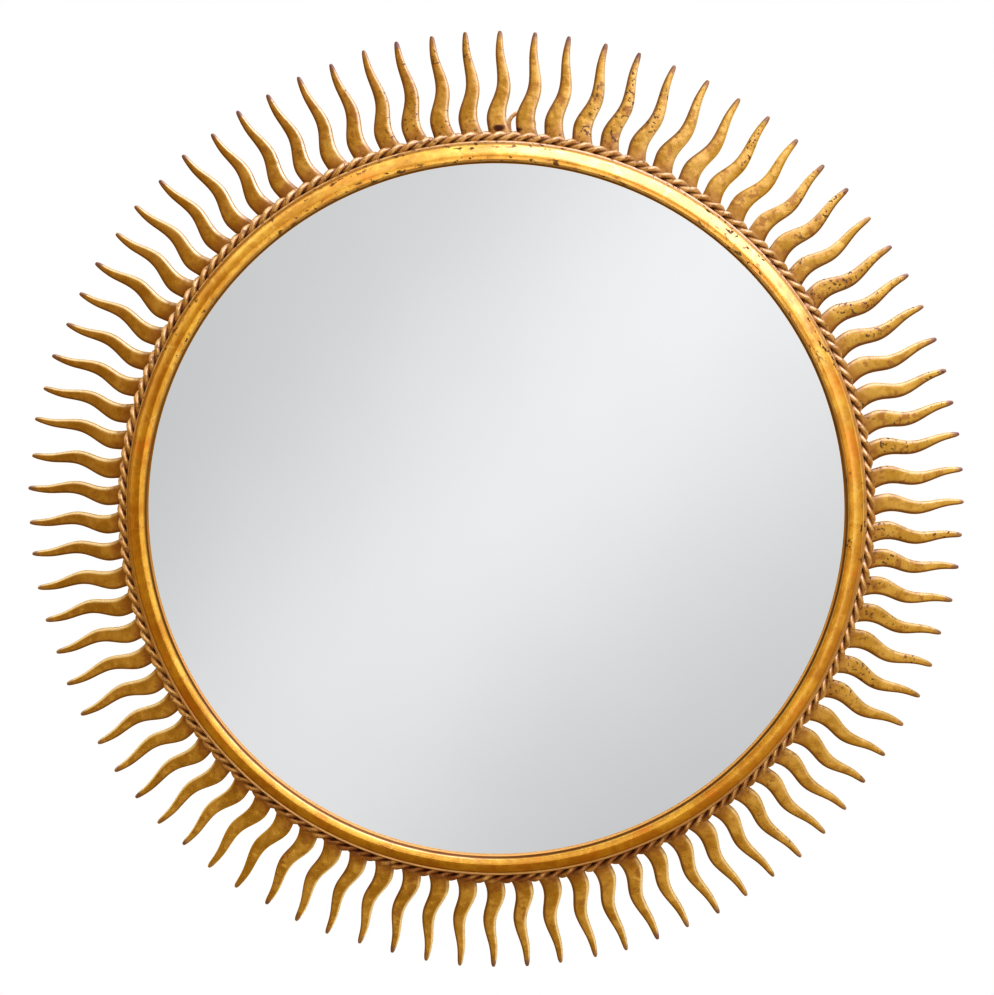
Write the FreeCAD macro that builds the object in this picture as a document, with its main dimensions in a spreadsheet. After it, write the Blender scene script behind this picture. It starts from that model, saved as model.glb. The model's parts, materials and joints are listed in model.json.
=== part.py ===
import FreeCAD, Part
import math
import os

import Sketcher
from FreeCAD import Placement, Rotation, Vector

# A round wall mirror in gilded iron. The glass sits behind a pressed moulding on a deep flat-bar hoop,
# a twisted rope runs round the hoop, and flame-shaped rays are welded to it behind the rope.
# The mirror's axis is Y: the face looks towards -Y, the wall is the plane Y = 0 and Z is up.
# Lengths are in millimetres. Angles run clockwise from the top as the viewer sees the face.

SIZES = [
    ("sight_radius", 331.0, "radius of the glass that shows"),
    ("moulding_width", 19.6, "sight edge to the outer edge of the lip"),
    ("moulding_sheet", 2.0, "thickness of the pressed moulding"),
    ("inner_land", 0.6, "flat edge of the moulding on the glass"),
    ("riser_width", 2.6, "steep riser, from the land up to the bevel"),
    ("bevel_width", 4.4, "inner bevel, from the riser up to the crown"),
    ("bevel_drop", 1.3, "inner edge of the bevel below the crown"),
    ("lip_width", 2.6, "flat lip along the outer edge"),
    ("crown_height", 4.7, "crown above the lip"),
    ("slope_radius", 24.0, "radius of the rounded slope from the crown to the lip"),
    ("land_drop", 2.6, "land below the lip"),
    ("lip_overhang", 0.9, "lip beyond the hoop"),
    ("hoop_wall", 4.0, "thickness of the flat bar of the hoop"),
    ("hoop_depth", 38.6, "width of that bar, from the wall to the lip"),
    ("weld_gap", 0.3, "room between the hoop and what is welded to its walls"),
    ("glass_thickness", 4.0, "mirror glass"),
    ("disc_clearance", 1.2, "glass and board inside the hoop"),
    ("board_thickness", 4.0, "hardboard behind the glass"),
    ("tab_thickness", 1.5, "strip of the bent tabs"),
    ("tab_width", 14.0, "tab along the hoop"),
    ("tab_arm", 14.0, "tab over the board"),
    ("tab_leg", 14.0, "tab along the hoop's inner wall"),
    ("tab_count", 6, "tabs round the board"),
    ("rope_diameter", 11.0, "two wires twisted together"),
    ("rope_clearance", 0.3, "rope to the hoop and to the rays"),
    ("ray_count", 86, "rays round the hoop"),
    ("ray_start_angle", 0.92, "axis of the first ray"),
    ("drift_one", 0.15, "degrees that the hand-laid spacing runs off once in a round"),
    ("drift_two", 0.24, "the same, twice in a round"),
    ("drift_three", 0.10, "the same, three times"),
    ("drift_four", 0.19, "the same, four times"),
    ("drift_five", 0.14, "the same, five times"),
    ("drift_place_one", 87.0, "degrees where the first of these is largest"),
    ("drift_place_two", 134.0, "the same for the second"),
    ("drift_place_three", 262.0, "the same for the third"),
    ("drift_place_four", 208.0, "the same for the fourth"),
    ("drift_place_five", 306.0, "the same for the fifth"),
    ("ray_setback", 11.6, "front of the ray's root behind the lip"),
    ("ray_sweep", 22.0, "tip of the ray behind its root"),
    ("ray_root_thickness", 5.0, "ray at the hoop"),
    ("ray_tip_thickness", 3.0, "ray at its tip"),
    ("foot_rise", 24.0, "root to the first belly of the wave"),
    ("belly_rise", 30.0, "first belly to the second"),
    ("neck_rise", 37.0, "second belly to the lean of the tip"),
    ("tip_rise", 14.0, "lean to the end of the tip"),
    ("foot_width", 24.0, "ray at the hoop"),
    ("belly_width", 18.0, "ray at the first belly"),
    ("waist_width", 12.5, "ray at the second belly"),
    ("neck_width", 6.4, "ray where the tip leans"),
    ("tip_width", 3.0, "blunt end of the tip"),
    ("foot_lean", 1.1, "foot clockwise of the ray's axis"),
    ("belly_swing", 3.95, "first belly counter-clockwise of it"),
    ("waist_swing", 2.6, "second belly clockwise of it"),
    ("neck_swing", 1.9, "tip counter-clockwise of it"),
    ("hanger_angle", 3.7, "hanger clockwise of the top"),
    ("hanger_depth", 5.0, "middle of the hanger in front of the wall"),
    ("ring_radius", 12.0, "middle of the wire of the hanging ring"),
    ("ring_wire", 4.2, "diameter of that wire"),
    ("ring_play", 0.65, "room round the wire in the staple"),
    ("staple_reach", 6.0, "hoop to the wire held in the staple"),
    ("staple_strip", 1.6, "thickness of the staple"),
    ("staple_width", 6.0, "staple along the hoop"),
]

# Round wires are drawn with flat sides, and a ray's edges in straight steps: foot, belly and neck.
ROPE_SIDES = 6
RING_SIDES = 8
FOOT_STEPS = 2
BELLY_STEPS = 3
NECK_STEPS = 1

doc = FreeCAD.newDocument("sunburst_mirror")
sheet = doc.addObject("Spreadsheet::Sheet", "sizes")
for row, (alias, value, note) in enumerate(SIZES, start=1):
    sheet.set(f"A{row}", alias)
    sheet.set(f"B{row}", str(value))
    sheet.setAlias(f"B{row}", alias)
    sheet.set(f"C{row}", note)
doc.recompute()

# Radii and depths that several pieces share, each worked out from the sizes above.
LIP_RADIUS = "(sizes.sight_radius + sizes.moulding_width)"
HOOP_RADIUS = f"({LIP_RADIUS} - sizes.lip_overhang)"
HOOP_INNER = f"({HOOP_RADIUS} - sizes.hoop_wall)"
DISC_RADIUS = f"({HOOP_INNER} - sizes.disc_clearance)"
RAY_ROOT = f"({HOOP_RADIUS} + sizes.weld_gap)"
RAY_LENGTH = "(sizes.foot_rise + sizes.belly_rise + sizes.neck_rise + sizes.tip_rise)"
RAY_TIP = f"({RAY_ROOT} + {RAY_LENGTH})"
RAY_SLOPE = f"(sizes.ray_sweep / {RAY_LENGTH})"
ROPE_RADIUS = f"({HOOP_RADIUS} + sizes.rope_clearance + sizes.rope_diameter / 2)"

GLASS_FRONT = "(sizes.hoop_depth - sizes.land_drop)"
GLASS_BACK = f"({GLASS_FRONT} - sizes.glass_thickness)"
BOARD_BACK = f"({GLASS_BACK} - sizes.board_thickness)"
RAY_FRONT = "(sizes.hoop_depth - sizes.ray_setback)"
ROPE_DEPTH = (
    f"({RAY_FRONT} - {RAY_SLOPE} * ({ROPE_RADIUS} - {RAY_ROOT})"
    f" + (sizes.rope_diameter / 2 + sizes.rope_clearance) * sqrt(1 + {RAY_SLOPE} ^ 2))"
)
PIVOT_RADIUS = f"({HOOP_RADIUS} + sizes.staple_reach)"
STAPLE_INNER = "(sizes.ring_wire / 2 + sizes.ring_play)"
STAPLE_OUTER = f"({STAPLE_INNER} + sizes.staple_strip)"


def number(expression):
    """The value of an expression, read through the sheet."""
    return float(sheet.evalExpression(expression))


def new_body(label):
    body = doc.addObject("PartDesign::Body", label)
    body.Label = label
    return body


def plane_of(body, role):
    for feature in body.Origin.OriginFeatures:
        if feature.Role == role:
            return feature
    raise RuntimeError(f"no {role} in {body.Label}")


def sketch_on(body, role, name):
    sketch = body.newObject("Sketcher::SketchObject", name)
    sketch.AttachmentSupport = [(plane_of(body, role), "")]
    sketch.MapMode = "FlatFace"
    return sketch


def pin_to(sketch, kind, geometry, point, expression):
    """Hold one coordinate of a point at an expression of the sheet."""
    index = sketch.addConstraint(Sketcher.Constraint(kind, -1, 1, geometry, point, number(expression)))
    sketch.setExpression(f"Constraints[{index}]", expression)


def closed_outline(sketch, corners, arcs=None):
    """Draw a closed outline whose corners are pairs of expressions.

    arcs gives, by the number of the corner that an edge starts from, a pair: the sketch height of the
    arc's centre or None, and the arc's radius. A radius is positive where the arc turns to the left.
    """
    arcs = arcs or {}
    spots = [Vector(number(across), number(up), 0) for across, up in corners]
    total = len(corners)
    starts = {}
    for index in range(total):
        begin, end = spots[index], spots[(index + 1) % total]
        if index not in arcs:
            edge = sketch.addGeometry(Part.LineSegment(begin, end))
            starts[index] = (edge, 1, 2)
            continue
        radius = number(arcs[index][1])
        chord = end - begin
        left = Vector(-chord.y, chord.x, 0).normalize()
        rise = math.sqrt(max(radius ** 2 - (chord.Length / 2) ** 2, 0.0))
        centre = (begin + end) * 0.5 + left * math.copysign(rise, radius)
        first, last = (begin, end) if radius > 0 else (end, begin)
        from_angle = math.atan2(first.y - centre.y, first.x - centre.x)
        to_angle = math.atan2(last.y - centre.y, last.x - centre.x)
        circle = Part.Circle(centre, Vector(0, 0, 1), abs(radius))
        edge = sketch.addGeometry(Part.ArcOfCircle(circle, from_angle, to_angle))
        starts[index] = (edge, 1, 2) if radius > 0 else (edge, 2, 1)
    for index in range(total):
        here, following = starts[index], starts[(index + 1) % total]
        sketch.addConstraint(Sketcher.Constraint("Coincident", here[0], here[2], following[0], following[1]))
    for index, (across, up) in enumerate(corners):
        edge, begin_point, _ = starts[index]
        pin_to(sketch, "DistanceX", edge, begin_point, across)
        pin_to(sketch, "DistanceY", edge, begin_point, up)
    for index, (centre_up, radius) in arcs.items():
        edge = starts[index][0]
        if centre_up is not None:
            pin_to(sketch, "DistanceY", edge, 3, centre_up)
            continue
        held = sketch.addConstraint(Sketcher.Constraint("Radius", edge, abs(number(radius))))
        sketch.setExpression(f"Constraints[{held}]", f"abs({radius})")


def turned(body, sketch, degrees="360"):
    """Turn a section, drawn as radius against depth, about the mirror's axis."""
    feature = body.newObject("PartDesign::Revolution", f"{body.Label}_turn")
    feature.Profile = sketch
    feature.ReferenceAxis = (sketch, ["V_Axis"])
    feature.Midplane = degrees != "360"
    feature.setExpression("Angle", degrees)
    return feature


def turned_body(label, corners, arcs=None, degrees="360"):
    """A body turned from corners given as radius and depth in front of the wall."""
    body = new_body(label)
    sketch = sketch_on(body, "XY_Plane", f"{label}_section")
    closed_outline(sketch, [(radius, f"-({depth})") for radius, depth in corners], arcs)
    turned(body, sketch, degrees)
    return body


def wire_section(radius, depth, diameter, sides):
    """The corners of a many-sided wire whose middle lies at a radius and a depth."""
    corners = []
    for index in range(sides):
        angle = (index + 0.5) * 360.0 / sides
        across = f"{radius} + {diameter} / 2 * cos({angle} deg)"
        corners.append((across, f"{depth} + {diameter} / 2 * sin({angle} deg)"))
    return corners


def front_moulding():
    """Pressed ring: a steep riser beside the glass, a bevel up to the crown, a rounded slope and a flat lip."""
    sheet_half = "sizes.moulding_sheet / 2"
    land_top = f"({GLASS_FRONT} + sizes.moulding_sheet)"
    lip_top = "(sizes.hoop_depth + sizes.moulding_sheet)"
    crown_top = f"({lip_top} + sizes.crown_height)"
    land_edge = "(sizes.sight_radius + sizes.inner_land)"
    bevel_edge = f"({land_edge} + sizes.riser_width)"
    crown = f"({bevel_edge} + sizes.bevel_width)"
    lip_in = f"({LIP_RADIUS} - sizes.lip_width)"
    corners = [
        ("sizes.sight_radius", GLASS_FRONT),
        ("sizes.sight_radius", land_top),
        (land_edge, land_top),
        (bevel_edge, f"{crown_top} - sizes.bevel_drop"),
        (crown, crown_top),
        (lip_in, lip_top),
        (LIP_RADIUS, lip_top),
        (LIP_RADIUS, "sizes.hoop_depth"),
        (f"{lip_in} - {sheet_half}", "sizes.hoop_depth"),
        (f"{crown} + {sheet_half}", f"{crown_top} - sizes.moulding_sheet"),
        (f"{land_edge} + sizes.moulding_sheet", GLASS_FRONT),
    ]
    return turned_body("front_moulding", corners, {4: (None, "sizes.slope_radius")})


def frame_hoop():
    """Flat bar rolled on edge: it carries the moulding, the rays, the tabs and the hanger."""
    corners = [
        (HOOP_INNER, "0"),
        (HOOP_RADIUS, "0"),
        (HOOP_RADIUS, "sizes.hoop_depth"),
        (HOOP_INNER, "sizes.hoop_depth"),
    ]
    return turned_body("frame_hoop", corners)


def rope_ring():
    """The twisted rope as a plain bar bent round the hoop, lying on the roots of the rays."""
    return turned_body("rope_ring", wire_section(ROPE_RADIUS, ROPE_DEPTH, "sizes.rope_diameter", ROPE_SIDES))


def round_sheet(label, back, thickness):
    """Plain disc inside the hoop, with its back at a depth."""
    disc = doc.addObject("Part::Cylinder", label)
    disc.Label = label
    disc.Placement = Placement(Vector(0, 0, 0), Rotation(Vector(1, 0, 0), 90))
    disc.setExpression("Radius", DISC_RADIUS)
    disc.setExpression("Height", thickness)
    disc.setExpression("Placement.Base.y", f"-({back})")
    return disc


def tab_pattern():
    """One bent tab: an arm over the back of the board and a leg welded to the inner wall of the hoop."""
    arm_end = f"({HOOP_INNER} - sizes.tab_arm)"
    leg_back = f"({HOOP_INNER} - sizes.weld_gap)"
    leg_face = f"({leg_back} - sizes.tab_thickness)"
    arm_back = f"({BOARD_BACK} - sizes.tab_thickness)"
    leg_end = f"({BOARD_BACK} - sizes.tab_leg)"
    corners = [
        (arm_end, arm_back),
        (leg_face, arm_back),
        (leg_face, leg_end),
        (leg_back, leg_end),
        (leg_back, BOARD_BACK),
        (arm_end, BOARD_BACK),
    ]
    degrees = f"sizes.tab_width / {HOOP_INNER} * 180 deg / pi"
    return turned_body("tab_pattern", corners, degrees=degrees)


def ray_stations():
    """Heights above the root, swings off the axis and widths of one ray, as expressions.

    The wave eases from each belly to the next like half a turn of a cosine, and the foot flares.
    """
    swings = ["sizes.foot_lean", "(-sizes.belly_swing)", "sizes.waist_swing", "(-sizes.neck_swing)"]
    widths = ["sizes.foot_width", "sizes.belly_width", "sizes.waist_width", "sizes.neck_width"]
    spans = [("sizes.foot_rise", FOOT_STEPS), ("sizes.belly_rise", BELLY_STEPS), ("sizes.neck_rise", NECK_STEPS)]
    stations = []
    base = "0"
    for index, (rise, steps) in enumerate(spans):
        swing, next_swing = swings[index], swings[index + 1]
        width, next_width = widths[index], widths[index + 1]
        for step in range(steps):
            part = step / steps
            eased = (1 - math.cos(math.pi * part)) / 2
            taper = part * (2 - part) if index == 0 else part
            stations.append((
                f"({base} + {rise} * {part})",
                f"({swing} + ({next_swing} - {swing}) * {eased})",
                f"({width} + ({next_width} - {width}) * {taper})",
            ))
        base = f"{base} + {rise}"
    stations.append((f"({base})", swings[-1], widths[-1]))
    stations.append((f"({base} + sizes.tip_rise)", swings[-1], "sizes.tip_width"))
    return stations


def ray_pattern():
    """One ray, pointing up: a wavy tapered blade that leans back towards the wall and thins to its tip."""
    body = new_body("ray_pattern")
    right, left = [], []
    for height, swing, width in ray_stations():
        up = f"{RAY_ROOT} + {height}"
        right.append((f"{swing} + {width} / 2", up))
        left.append((f"{swing} - {width} / 2", up))
    plan = sketch_on(body, "XZ_Plane", "ray_plan")
    closed_outline(plan, right + left[::-1])
    slab = body.newObject("PartDesign::Pad", "ray_slab")
    slab.Profile = plan
    slab.setExpression("Length", RAY_FRONT)

    tip_front = f"({RAY_FRONT} - sizes.ray_sweep)"
    tip_back = f"({tip_front} - sizes.ray_tip_thickness)"
    root_back = f"({RAY_FRONT} - sizes.ray_root_thickness)"
    waste = sketch_on(body, "YZ_Plane", "ray_waste")
    closed_outline(waste, [
        (f"-{RAY_FRONT}", RAY_ROOT),
        (f"-{tip_front}", RAY_TIP),
        (f"-{RAY_FRONT}", RAY_TIP),
    ])
    closed_outline(waste, [
        ("0", RAY_ROOT),
        (f"-{root_back}", RAY_ROOT),
        (f"-{tip_back}", RAY_TIP),
        ("0", RAY_TIP),
    ])
    blade = body.newObject("PartDesign::Pocket", "ray_blade")
    blade.Profile = waste
    blade.Type = "ThroughAll"
    blade.Midplane = True
    return body


def hanger_staple():
    """Strip bent round the ring's wire, with both ends welded to the outside of the hoop."""
    body = new_body("hanger_staple")
    sketch = sketch_on(body, "YZ_Plane", "staple_side")
    middle = "(-sizes.hanger_depth)"
    foot = f"({HOOP_RADIUS} + sizes.weld_gap)"
    closed_outline(
        sketch,
        [
            (f"{middle} + {STAPLE_OUTER}", foot),
            (f"{middle} + {STAPLE_OUTER}", PIVOT_RADIUS),
            (f"{middle} - {STAPLE_OUTER}", PIVOT_RADIUS),
            (f"{middle} - {STAPLE_OUTER}", foot),
            (f"{middle} - {STAPLE_INNER}", foot),
            (f"{middle} - {STAPLE_INNER}", PIVOT_RADIUS),
            (f"{middle} + {STAPLE_INNER}", PIVOT_RADIUS),
            (f"{middle} + {STAPLE_INNER}", foot),
        ],
        {1: (PIVOT_RADIUS, STAPLE_OUTER), 5: (PIVOT_RADIUS, f"-{STAPLE_INNER}")},
    )
    strip = body.newObject("PartDesign::Pad", "staple_strip")
    strip.Profile = sketch
    strip.Midplane = True
    strip.setExpression("Length", "sizes.staple_width")
    body.Placement = Placement(Vector(0, 0, 0), Rotation(Vector(0, 1, 0), 0))
    body.setExpression("Placement.Rotation.Angle", "sizes.hanger_angle * 1 deg")
    return body


def hanging_ring():
    """Wire ring that swings in the staple, standing up behind the rays."""
    body = turned_body("hanging_ring", wire_section("sizes.ring_radius", "0", "sizes.ring_wire", RING_SIDES))
    middle = f"({PIVOT_RADIUS} + sizes.ring_radius)"
    body.setExpression("Placement.Base.x", f"{middle} * sin(sizes.hanger_angle * 1 deg)")
    body.setExpression("Placement.Base.y", "-sizes.hanger_depth")
    body.setExpression("Placement.Base.z", f"{middle} * cos(sizes.hanger_angle * 1 deg)")
    return body


def copies_round(label, pattern, angles):
    """Separate copies of a pattern, turned about the mirror's axis, as one named group."""
    copies = []
    for index, angle in enumerate(angles, start=1):
        copy = doc.addObject("App::Link", f"{label}_{index}")
        copy.LinkedObject = pattern
        copy.Placement = Placement(Vector(0, 0, 0), Rotation(Vector(0, 1, 0), 1))
        copy.setExpression("Placement.Rotation.Angle", f"({angle}) * 1 deg")
        copies.append(copy)
    group = doc.addObject("Part::Compound", label)
    group.Label = label
    group.Links = copies
    return group


def board_tabs(pattern):
    count = int(number("sizes.tab_count"))
    angles = [f"({index} + 0.5) * 360 / sizes.tab_count" for index in range(count)]
    return copies_round("board_tabs", pattern, angles)


def ray_angle(index):
    """Angle of one ray. The spacing was laid out by eye, so it drifts a little in five slow waves."""
    even = f"(sizes.ray_start_angle + {index} * 360 / sizes.ray_count)"
    drifts = []
    for times, name in enumerate(("one", "two", "three", "four", "five"), start=1):
        drifts.append(f"sizes.drift_{name} * cos(({times} * {even} - sizes.drift_place_{name}) * 1 deg)")
    return " + ".join([even] + drifts)


def ray_pairs(pattern):
    """The rays two by two, each pair a node of its own."""
    count = int(number("sizes.ray_count"))
    pairs = []
    for first in range(0, count, 2):
        members = range(first, min(first + 2, count))
        angles = [ray_angle(index) for index in members]
        pairs.append(copies_round(f"ray_pair_{first // 2 + 1:02d}", pattern, angles))
    return pairs


ray = ray_pattern()
tab = tab_pattern()
doc.recompute()
pieces = [
    front_moulding(),
    round_sheet("mirror_glass", GLASS_BACK, "sizes.glass_thickness"),
    round_sheet("backing_board", BOARD_BACK, "sizes.board_thickness"),
    frame_hoop(),
    board_tabs(tab),
    rope_ring(),
    hanger_staple(),
    hanging_ring(),
]
pieces += ray_pairs(ray)
doc.recompute()

for item in doc.Objects:
    if "Invalid" in item.State or "Error" in item.State:
        raise RuntimeError(f"{item.Label} failed: {item.State}")
for piece in pieces:
    if piece.Shape.isNull() or not piece.Shape.isValid() or not piece.Shape.Solids:
        raise RuntimeError(f"{piece.Label} has no valid solid")

os.makedirs("parts", exist_ok=True)
for piece in pieces:
    piece.Shape.exportStep(f"parts/{piece.Label}.step")
    print(f"{piece.Label}: {len(piece.Shape.Solids)} solids, {piece.Shape.Volume / 1000:.2f} cm3")
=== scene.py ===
# %% [markdown]
# # A gilded sunburst mirror
# The real object is a round mirror in a frame of gilded iron: a moulded ring holds the glass, a
# twisted rope lies round the ring, and flame-shaped rays stand out behind the rope. The solids come
# from the construction model in metres, with the face towards -Y, the wall at Y = 0 and Z up. This
# lesson dresses them piece by piece.

# %% Load the construction model
import json
import math
import random

import bpy
from mathutils import Matrix, Vector

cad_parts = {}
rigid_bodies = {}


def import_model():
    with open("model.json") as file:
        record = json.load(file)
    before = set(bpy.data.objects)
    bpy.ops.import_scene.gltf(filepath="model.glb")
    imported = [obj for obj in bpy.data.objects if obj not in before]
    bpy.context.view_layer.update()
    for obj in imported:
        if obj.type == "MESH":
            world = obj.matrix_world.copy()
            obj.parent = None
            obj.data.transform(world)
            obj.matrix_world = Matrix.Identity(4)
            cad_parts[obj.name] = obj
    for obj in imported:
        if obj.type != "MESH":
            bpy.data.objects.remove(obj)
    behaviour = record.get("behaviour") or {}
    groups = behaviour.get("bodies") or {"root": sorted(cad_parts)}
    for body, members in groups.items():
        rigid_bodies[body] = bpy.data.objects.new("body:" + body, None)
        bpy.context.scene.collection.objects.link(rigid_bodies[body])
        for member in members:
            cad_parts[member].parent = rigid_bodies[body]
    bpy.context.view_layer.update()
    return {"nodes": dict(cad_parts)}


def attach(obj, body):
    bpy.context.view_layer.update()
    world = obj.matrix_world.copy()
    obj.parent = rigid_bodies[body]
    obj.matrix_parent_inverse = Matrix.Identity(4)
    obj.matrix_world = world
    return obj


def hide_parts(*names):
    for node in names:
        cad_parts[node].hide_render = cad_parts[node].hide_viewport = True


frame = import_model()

# %% [markdown]
# ## Sizes
# The pieces below lie on the construction model's own sizes. They are repeated here once, in
# metres: radii are measured from the mirror's axis and depths from the wall.

# %% Sizes of the frame
SIGHT, LAND, BEVEL, CROWN, LIP_IN, LIP_OUT = 0.331, 0.3316, 0.3342, 0.3386, 0.348, 0.3506
GLASS_FRONT, GLASS_BACK, BOARD_BACK = 0.036, 0.032, 0.028
LAND_TOP, BEVEL_TOP, CROWN_TOP, LIP_TOP, HOOP_FRONT = 0.038, 0.0446, 0.0453, 0.0406, 0.0386
HOOP_IN, HOOP_OUT, DISC = 0.3457, 0.3497, 0.3445
SLOPE_RADIUS = 0.024
ROPE_RADIUS, ROPE_DEPTH, ROPE_TURNS = 0.3555, 0.03177, 82
RAY_COUNT, RAY_START, RAY_ROOT, RAY_LENGTH = 86, 0.92, 0.350, 0.105
RAY_FRONT, RAY_SWEEP = 0.027, 0.022
RING_ANGLE, RING_MIDDLE, RING_DEPTH, RING_MAJOR, RING_WIRE = 3.7, 0.3677, 0.005, 0.012, 0.0021
print("overall", 2 * (RAY_ROOT + RAY_LENGTH))

# %% [markdown]
# ## Shader arithmetic
# A finish is easier to read as a formula than as a drawing of boxes and threads. This small class
# wraps one output of a shader tree. Plus, minus, times and the like add Math nodes, and every other
# node comes from `node`, which takes its type, its settings and what goes into its sockets.


# %% A shader value that can be calculated with
class Tone:
    def __init__(self, tree, socket=None):
        self.tree, self.socket = tree, socket

    def node(self, kind, settings=None, inputs=None, out=0):
        made = self.tree.nodes.new(kind)
        for key, value in (settings or {}).items():
            setattr(made, key, value)
        for key, value in (inputs or {}).items():
            if isinstance(value, Tone):
                self.tree.links.new(value.socket, made.inputs[key])
            else:
                made.inputs[key].default_value = value
        return Tone(self.tree, made.outputs[out] if made.outputs else None)

    def sum(self, operation, first, second=0.0):
        return self.node("ShaderNodeMath", {"operation": operation}, {0: first, 1: second})

    def __add__(self, other):
        return self.sum("ADD", self, other)

    def __radd__(self, other):
        return self.sum("ADD", other, self)

    def __sub__(self, other):
        return self.sum("SUBTRACT", self, other)

    def __rsub__(self, other):
        return self.sum("SUBTRACT", other, self)

    def __mul__(self, other):
        return self.sum("MULTIPLY", self, other)

    def __rmul__(self, other):
        return self.sum("MULTIPLY", other, self)

    def __truediv__(self, other):
        return self.sum("DIVIDE", self, other)

    def __pow__(self, other):
        return self.sum("POWER", self, other)

    def step(self, low, high):
        """0 below low, 1 above high and a soft ramp between. With low above high it falls."""
        place = {"Value": self, "From Min": low, "From Max": high}
        return self.node("ShaderNodeMapRange", {"interpolation_type": "SMOOTHSTEP"}, place)

    def blend(self, colour, other):
        """One colour where this value is 0 and the other where it is 1."""
        settings = {"data_type": "RGBA", "clamp_factor": True}
        return self.node("ShaderNodeMix", settings, {0: self, 6: colour, 7: other}, out=2)

    def noise(self, scale, detail=4.0, roughness=0.55):
        return self.node("ShaderNodeTexNoise", None,
                         {"Vector": self, "Scale": scale, "Detail": detail, "Roughness": roughness})

    def part(self, axis):
        return self.node("ShaderNodeSeparateXYZ", None, {0: self}, out="XYZ".index(axis))


def finish_named(name):
    """A new material, its place on the piece and its shader."""
    material = bpy.data.materials.new(name)
    material.use_nodes = True
    tree = material.node_tree
    shader = tree.nodes["Principled BSDF"]
    return material, Tone(tree).node("ShaderNodeTexCoord", out=3), shader


def feed(shader, **inputs):
    """Plug values into the shader's sockets, named with underscores for spaces."""
    for key, value in inputs.items():
        socket = shader.inputs[key.replace("_", " ")]
        if isinstance(value, Tone):
            value.tree.links.new(value.socket, socket)
        else:
            socket.default_value = value


def rgb(red, green, blue):
    return (red, green, blue, 1.0)


print("shader arithmetic ready")

# %% [markdown]
# ## The gilding
# Gold leaf lies over red clay on iron. It is bright where it was burnished, mottled where it
# thinned, and gone in specks and along worn places, where brown iron shows. Most brightness comes
# from the light, so the colours here stay close together, but a few marks below are painted
# highlight and painted shade. The wear is a mask that also takes away the metal's shine.


# %% Places to paint by
FRAME_MIDDLE = 0.343


def from_axis(place):
    """Distance from the mirror's axis."""
    return (place.part("X") ** 2 + place.part("Z") ** 2) ** 0.5


def along_frame(place, stretch):
    """The frame unrolled: the way round over a stretch, the distance from the axis, the depth."""
    turn = place.sum("ARCTAN2", place.part("X"), place.part("Z"))
    way = turn * (FRAME_MIDDLE / stretch)
    radius, depth = from_axis(place), place.part("Y")
    return place.node("ShaderNodeCombineXYZ", None, {0: way, 1: radius, 2: depth})


def ring_line(radius, inside, outside, soft):
    """1 on the ring between two radii, with a soft ramp at both of them."""
    return radius.step(inside, inside + soft) * radius.step(outside, outside - soft)


def unevenness(place, strength, distance, broad, fine):
    """Bumps of leaf on hand-worked metal: broad swellings with a finer grain on them."""
    height = place.noise(broad, 1.0) + 0.16 * place.noise(fine, 2.0)
    bump = {"Strength": strength, "Distance": distance, "Height": height}
    return place.node("ShaderNodeBump", None, bump)


print("the frame unrolls to", round(2 * math.pi * FRAME_MIDDLE, 2), "m")

# %% [markdown]
# ## Leaf on the moulding
# On the real ring the leaf is burnished, thin in patches and streaks, warmed by the clay under it
# and creased where two leaves overlap. A picture wrapped round the ring would need a seam. Noise on
# the unrolled frame needs none and never repeats, and drawing it out lengthwise lays the streaks
# the way the leaf was laid.


# %% Leaf on the moulding
def burnished_leaf(place):
    """The colour of the leaf, with the mottle and the streaks in it."""
    mottle = place.noise(34, 6.0, 0.68).step(0.37, 0.63)
    gold = mottle.blend(rgb(0.80, 0.48, 0.06), rgb(0.98, 0.71, 0.16))
    streaks = along_frame(place, 3.0).noise(190, 4.0, 0.65).step(0.48, 0.72)
    gold = (streaks * 0.6).blend(gold, rgb(0.66, 0.35, 0.05))
    clay = along_frame(place, 1.6).noise(42, 4.0, 0.6).step(0.52, 0.70)
    gold = (clay * 0.55).blend(gold, rgb(0.95, 0.43, 0.05))
    leaves = {"Vector": along_frame(place, 1.4), "Scale": 75.0}
    seams = place.node("ShaderNodeTexVoronoi", {"feature": "DISTANCE_TO_EDGE"}, leaves)
    creases = seams.step(0.07, 0.02) * place.noise(24, 3.0).step(0.50, 0.62)
    return (creases * 0.4).blend(gold, rgb(1.0, 0.80, 0.35)), mottle, streaks


print("leaf ready")
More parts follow.
